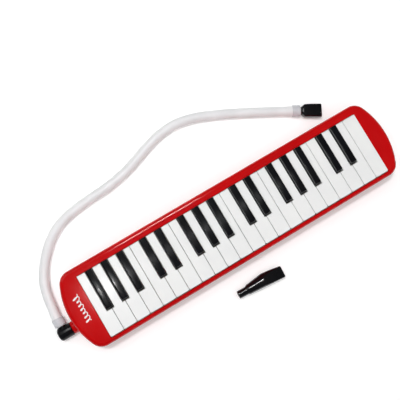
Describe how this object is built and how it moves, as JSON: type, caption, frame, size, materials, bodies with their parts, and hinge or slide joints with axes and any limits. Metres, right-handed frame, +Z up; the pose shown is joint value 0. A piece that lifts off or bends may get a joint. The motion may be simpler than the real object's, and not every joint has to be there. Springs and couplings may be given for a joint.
{
  "type": "melodica",
  "caption": "Mouth-blown free-reed keyboard in a flat red case, with a flexible blowing hose on its left end and a short spare mouthpiece lying in front.",
  "frame": {"origin": "middle of the case's flat underside", "axes": "+X along the keyboard to the high notes, +Y from the player to the back, +Z up"},
  "size_m": [0.4555, 0.2328, 0.0452],
  "materials": {
    "red_case": "glossy red moulded plastic",
    "white_gloss": "glossy white key plastic",
    "black_gloss": "glossy black plastic",
    "cream_board": "plain moulded board",
    "milky_hose": "milky white flexible tube",
    "grey_cuff": "light grey cuff",
    "strap_vinyl": "black woven band",
    "red_felt": "pressed felt",
    "black_rubber": "soft rubber",
    "reed_brass": "rolled brass plate",
    "steel": "drawn steel"
  },
  "bodies": {
    "case": {"upper_case": "red_case", "lower_case": "red_case", "valve_board": "cream_board", "chamber_gasket": "black_rubber", "reed_plate_low": "reed_brass", "reed_plate_high": "reed_brass", "key_rod": "steel", "white_key_felt": "red_felt", "black_key_felt": "red_felt", "hand_strap": "strap_vinyl", "case_screw_1": "steel", "case_screw_2": "steel", "case_screw_3": "steel", "case_screw_4": "steel", "drain_spring": "steel"},
    "key_f3_lever": {"key_f3": "white_gloss"},
    "key_f3_sharp_lever": {"key_f3_sharp": "black_gloss"},
    "key_g3_lever": {"key_g3": "white_gloss"},
    "key_g3_sharp_lever": {"key_g3_sharp": "black_gloss"},
    "key_a3_lever": {"key_a3": "white_gloss"},
    "key_a3_sharp_lever": {"key_a3_sharp": "black_gloss"},
    "key_b3_lever": {"key_b3": "white_gloss"},
    "key_c4_lever": {"key_c4": "white_gloss"},
    "key_c4_sharp_lever": {"key_c4_sharp": "black_gloss"},
    "key_d4_lever": {"key_d4": "white_gloss"},
    "key_d4_sharp_lever": {"key_d4_sharp": "black_gloss"},
    "key_e4_lever": {"key_e4": "white_gloss"},
    "key_f4_lever": {"key_f4": "white_gloss"},
    "key_f4_sharp_lever": {"key_f4_sharp": "black_gloss"},
    "key_g4_lever": {"key_g4": "white_gloss"},
    "key_g4_sharp_lever": {"key_g4_sharp": "black_gloss"},
    "key_a4_lever": {"key_a4": "white_gloss"},
    "key_a4_sharp_lever": {"key_a4_sharp": "black_gloss"},
    "key_b4_lever": {"key_b4": "white_gloss"},
    "key_c5_lever": {"key_c5": "white_gloss"},
    "key_c5_sharp_lever": {"key_c5_sharp": "black_gloss"},
    "key_d5_lever": {"key_d5": "white_gloss"},
    "key_d5_sharp_lever": {"key_d5_sharp": "black_gloss"},
    "key_e5_lever": {"key_e5": "white_gloss"},
    "key_f5_lever": {"key_f5": "white_gloss"},
    "key_f5_sharp_lever": {"key_f5_sharp": "black_gloss"},
    "key_g5_lever": {"key_g5": "white_gloss"},
    "key_g5_sharp_lever": {"key_g5_sharp": "black_gloss"},
    "key_a5_lever": {"key_a5": "white_gloss"},
    "key_a5_sharp_lever": {"key_a5_sharp": "black_gloss"},
    "key_b5_lever": {"key_b5": "white_gloss"},
    "key_c6_lever": {"key_c6": "white_gloss"},
    "key_c6_sharp_lever": {"key_c6_sharp": "black_gloss"},
    "key_d6_lever": {"key_d6": "white_gloss"},
    "key_d6_sharp_lever": {"key_d6_sharp": "black_gloss"},
    "key_e6_lever": {"key_e6": "white_gloss"},
    "key_f6_lever": {"key_f6": "white_gloss"},
    "drain": {"drain_button": "black_gloss", "drain_seal": "black_rubber"},
    "blowing_hose": {"elbow": "black_gloss", "hose": "milky_hose", "hose_cuff_near": "grey_cuff", "hose_cuff_far": "grey_cuff", "hose_mouthpiece": "black_gloss"},
    "loose_mouthpiece": {"short_mouthpiece": "black_gloss"}
  },
  "joints": [
    {"name": "key_f3_press", "type": "hinge", "parent": "case", "child": "key_f3_lever", "pos_m": [0, 0.012, 0.0272], "axis": [1, 0, 0], "range_deg": [0, 5.2], "stiffness_Nm_per_rad": 0.25, "springref_deg": -5.73},
    {"name": "key_f3_sharp_press", "type": "hinge", "parent": "case", "child": "key_f3_sharp_lever", "pos_m": [0, 0.012, 0.0272], "axis": [1, 0, 0], "range_deg": [0, 6.5], "stiffness_Nm_per_rad": 0.25, "springref_deg": -5.73},
    {"name": "key_g3_press", "type": "hinge", "parent": "case", "child": "key_g3_lever", "pos_m": [0, 0.012, 0.0272], "axis": [1, 0, 0], "range_deg": [0, 5.2], "stiffness_Nm_per_rad": 0.25, "springref_deg": -5.73},
    {"name": "key_g3_sharp_press", "type": "hinge", "parent": "case", "child": "key_g3_sharp_lever", "pos_m": [0, 0.012, 0.0272], "axis": [1, 0, 0], "range_deg": [0, 6.5], "stiffness_Nm_per_rad": 0.25, "springref_deg": -5.73},
    {"name": "key_a3_press", "type": "hinge", "parent": "case", "child": "key_a3_lever", "pos_m": [0, 0.012, 0.0272], "axis": [1, 0, 0], "range_deg": [0, 5.2], "stiffness_Nm_per_rad": 0.25, "springref_deg": -5.73},
    {"name": "key_a3_sharp_press", "type": "hinge", "parent": "case", "child": "key_a3_sharp_lever", "pos_m": [0, 0.012, 0.0272], "axis": [1, 0, 0], "range_deg": [0, 6.5], "stiffness_Nm_per_rad": 0.25, "springref_deg": -5.73},
    {"name": "key_b3_press", "type": "hinge", "parent": "case", "child": "key_b3_lever", "pos_m": [0, 0.012, 0.0272], "axis": [1, 0, 0], "range_deg": [0, 5.2], "stiffness_Nm_per_rad": 0.25, "springref_deg": -5.73},
    {"name": "key_c4_press", "type": "hinge", "parent": "case", "child": "key_c4_lever", "pos_m": [0, 0.012, 0.0272], "axis": [1, 0, 0], "range_deg": [0, 5.2], "stiffness_Nm_per_rad": 0.25, "springref_deg": -5.73},
    {"name": "key_c4_sharp_press", "type": "hinge", "parent": "case", "child": "key_c4_sharp_lever", "pos_m": [0, 0.012, 0.0272], "axis": [1, 0, 0], "range_deg": [0, 6.5], "stiffness_Nm_per_rad": 0.25, "springref_deg": -5.73},
    {"name": "key_d4_press", "type": "hinge", "parent": "case", "child": "key_d4_lever", "pos_m": [0, 0.012, 0.0272], "axis": [1, 0, 0], "range_deg": [0, 5.2], "stiffness_Nm_per_rad": 0.25, "springref_deg": -5.73},
    {"name": "key_d4_sharp_press", "type": "hinge", "parent": "case", "child": "key_d4_sharp_lever", "pos_m": [0, 0.012, 0.0272], "axis": [1, 0, 0], "range_deg": [0, 6.5], "stiffness_Nm_per_rad": 0.25, "springref_deg": -5.73},
    {"name": "key_e4_press", "type": "hinge", "parent": "case", "child": "key_e4_lever", "pos_m": [0, 0.012, 0.0272], "axis": [1, 0, 0], "range_deg": [0, 5.2], "stiffness_Nm_per_rad": 0.25, "springref_deg": -5.73},
    {"name": "key_f4_press", "type": "hinge", "parent": "case", "child": "key_f4_lever", "pos_m": [0, 0.012, 0.0272], "axis": [1, 0, 0], "range_deg": [0, 5.2], "stiffness_Nm_per_rad": 0.25, "springref_deg": -5.73},
    {"name": "key_f4_sharp_press", "type": "hinge", "parent": "case", "child": "key_f4_sharp_lever", "pos_m": [0, 0.012, 0.0272], "axis": [1, 0, 0], "range_deg": [0, 6.5], "stiffness_Nm_per_rad": 0.25, "springref_deg": -5.73},
    {"name": "key_g4_press", "type": "hinge", "parent": "case", "child": "key_g4_lever", "pos_m": [0, 0.012, 0.0272], "axis": [1, 0, 0], "range_deg": [0, 5.2], "stiffness_Nm_per_rad": 0.25, "springref_deg": -5.73},
    {"name": "key_g4_sharp_press", "type": "hinge", "parent": "case", "child": "key_g4_sharp_lever", "pos_m": [0, 0.012, 0.0272], "axis": [1, 0, 0], "range_deg": [0, 6.5], "stiffness_Nm_per_rad": 0.25, "springref_deg": -5.73},
    {"name": "key_a4_press", "type": "hinge", "parent": "case", "child": "key_a4_lever", "pos_m": [0, 0.012, 0.0272], "axis": [1, 0, 0], "range_deg": [0, 5.2], "stiffness_Nm_per_rad": 0.25, "springref_deg": -5.73},
    {"name": "key_a4_sharp_press", "type": "hinge", "parent": "case", "child": "key_a4_sharp_lever", "pos_m": [0, 0.012, 0.0272], "axis": [1, 0, 0], "range_deg": [0, 6.5], "stiffness_Nm_per_rad": 0.25, "springref_deg": -5.73},
    {"name": "key_b4_press", "type": "hinge", "parent": "case", "child": "key_b4_lever", "pos_m": [0, 0.012, 0.0272], "axis": [1, 0, 0], "range_deg": [0, 5.2], "stiffness_Nm_per_rad": 0.25, "springref_deg": -5.73},
    {"name": "key_c5_press", "type": "hinge", "parent": "case", "child": "key_c5_lever", "pos_m": [0, 0.012, 0.0272], "axis": [1, 0, 0], "range_deg": [0, 5.2], "stiffness_Nm_per_rad": 0.25, "springref_deg": -5.73},
    {"name": "key_c5_sharp_press", "type": "hinge", "parent": "case", "child": "key_c5_sharp_lever", "pos_m": [0, 0.012, 0.0272], "axis": [1, 0, 0], "range_deg": [0, 6.5], "stiffness_Nm_per_rad": 0.25, "springref_deg": -5.73},
    {"name": "key_d5_press", "type": "hinge", "parent": "case", "child": "key_d5_lever", "pos_m": [0, 0.012, 0.0272], "axis": [1, 0, 0], "range_deg": [0, 5.2], "stiffness_Nm_per_rad": 0.25, "springref_deg": -5.73},
    {"name": "key_d5_sharp_press", "type": "hinge", "parent": "case", "child": "key_d5_sharp_lever", "pos_m": [0, 0.012, 0.0272], "axis": [1, 0, 0], "range_deg": [0, 6.5], "stiffness_Nm_per_rad": 0.25, "springref_deg": -5.73},
    {"name": "key_e5_press", "type": "hinge", "parent": "case", "child": "key_e5_lever", "pos_m": [0, 0.012, 0.0272], "axis": [1, 0, 0], "range_deg": [0, 5.2], "stiffness_Nm_per_rad": 0.25, "springref_deg": -5.73},
    {"name": "key_f5_press", "type": "hinge", "parent": "case", "child": "key_f5_lever", "pos_m": [0, 0.012, 0.0272], "axis": [1, 0, 0], "range_deg": [0, 5.2], "stiffness_Nm_per_rad": 0.25, "springref_deg": -5.73},
    {"name": "key_f5_sharp_press", "type": "hinge", "parent": "case", "child": "key_f5_sharp_lever", "pos_m": [0, 0.012, 0.0272], "axis": [1, 0, 0], "range_deg": [0, 6.5], "stiffness_Nm_per_rad": 0.25, "springref_deg": -5.73},
    {"name": "key_g5_press", "type": "hinge", "parent": "case", "child": "key_g5_lever", "pos_m": [0, 0.012, 0.0272], "axis": [1, 0, 0], "range_deg": [0, 5.2], "stiffness_Nm_per_rad": 0.25, "springref_deg": -5.73},
    {"name": "key_g5_sharp_press", "type": "hinge", "parent": "case", "child": "key_g5_sharp_lever", "pos_m": [0, 0.012, 0.0272], "axis": [1, 0, 0], "range_deg": [0, 6.5], "stiffness_Nm_per_rad": 0.25, "springref_deg": -5.73},
    {"name": "key_a5_press", "type": "hinge", "parent": "case", "child": "key_a5_lever", "pos_m": [0, 0.012, 0.0272], "axis": [1, 0, 0], "range_deg": [0, 5.2], "stiffness_Nm_per_rad": 0.25, "springref_deg": -5.73},
    {"name": "key_a5_sharp_press", "type": "hinge", "parent": "case", "child": "key_a5_sharp_lever", "pos_m": [0, 0.012, 0.0272], "axis": [1, 0, 0], "range_deg": [0, 6.5], "stiffness_Nm_per_rad": 0.25, "springref_deg": -5.73},
    {"name": "key_b5_press", "type": "hinge", "parent": "case", "child": "key_b5_lever", "pos_m": [0, 0.012, 0.0272], "axis": [1, 0, 0], "range_deg": [0, 5.2], "stiffness_Nm_per_rad": 0.25, "springref_deg": -5.73},
    {"name": "key_c6_press", "type": "hinge", "parent": "case", "child": "key_c6_lever", "pos_m": [0, 0.012, 0.0272], "axis": [1, 0, 0], "range_deg": [0, 5.2], "stiffness_Nm_per_rad": 0.25, "springref_deg": -5.73},
    {"name": "key_c6_sharp_press", "type": "hinge", "parent": "case", "child": "key_c6_sharp_lever", "pos_m": [0, 0.012, 0.0272], "axis": [1, 0, 0], "range_deg": [0, 6.5], "stiffness_Nm_per_rad": 0.25, "springref_deg": -5.73},
    {"name": "key_d6_press", "type": "hinge", "parent": "case", "child": "key_d6_lever", "pos_m": [0, 0.012, 0.0272], "axis": [1, 0, 0], "range_deg": [0, 5.2], "stiffness_Nm_per_rad": 0.25, "springref_deg": -5.73},
    {"name": "key_d6_sharp_press", "type": "hinge", "parent": "case", "child": "key_d6_sharp_lever", "pos_m": [0, 0.012, 0.0272], "axis": [1, 0, 0], "range_deg": [0, 6.5], "stiffness_Nm_per_rad": 0.25, "springref_deg": -5.73},
    {"name": "key_e6_press", "type": "hinge", "parent": "case", "child": "key_e6_lever", "pos_m": [0, 0.012, 0.0272], "axis": [1, 0, 0], "range_deg": [0, 5.2], "stiffness_Nm_per_rad": 0.25, "springref_deg": -5.73},
    {"name": "key_f6_press", "type": "hinge", "parent": "case", "child": "key_f6_lever", "pos_m": [0, 0.012, 0.0272], "axis": [1, 0, 0], "range_deg": [0, 5.2], "stiffness_Nm_per_rad": 0.25, "springref_deg": -5.73},
    {"name": "drain_press", "type": "slide", "parent": "case", "child": "drain", "axis": [0, 0, 1], "range_m": [0, 0.0025], "stiffness_N_per_m": 300, "springref_m": -0.003, "deforming": ["drain_spring"]},
    {"name": "hose_pull_off", "type": "slide", "parent": "case", "child": "blowing_hose", "axis": [-1, 0, 0], "range_m": [0, 0.03]},
    {"name": "mouthpiece_lift", "type": "slide", "parent": "case", "child": "loose_mouthpiece", "axis": [0, 0, 1], "range_m": [0, 0.06]}
  ]
}
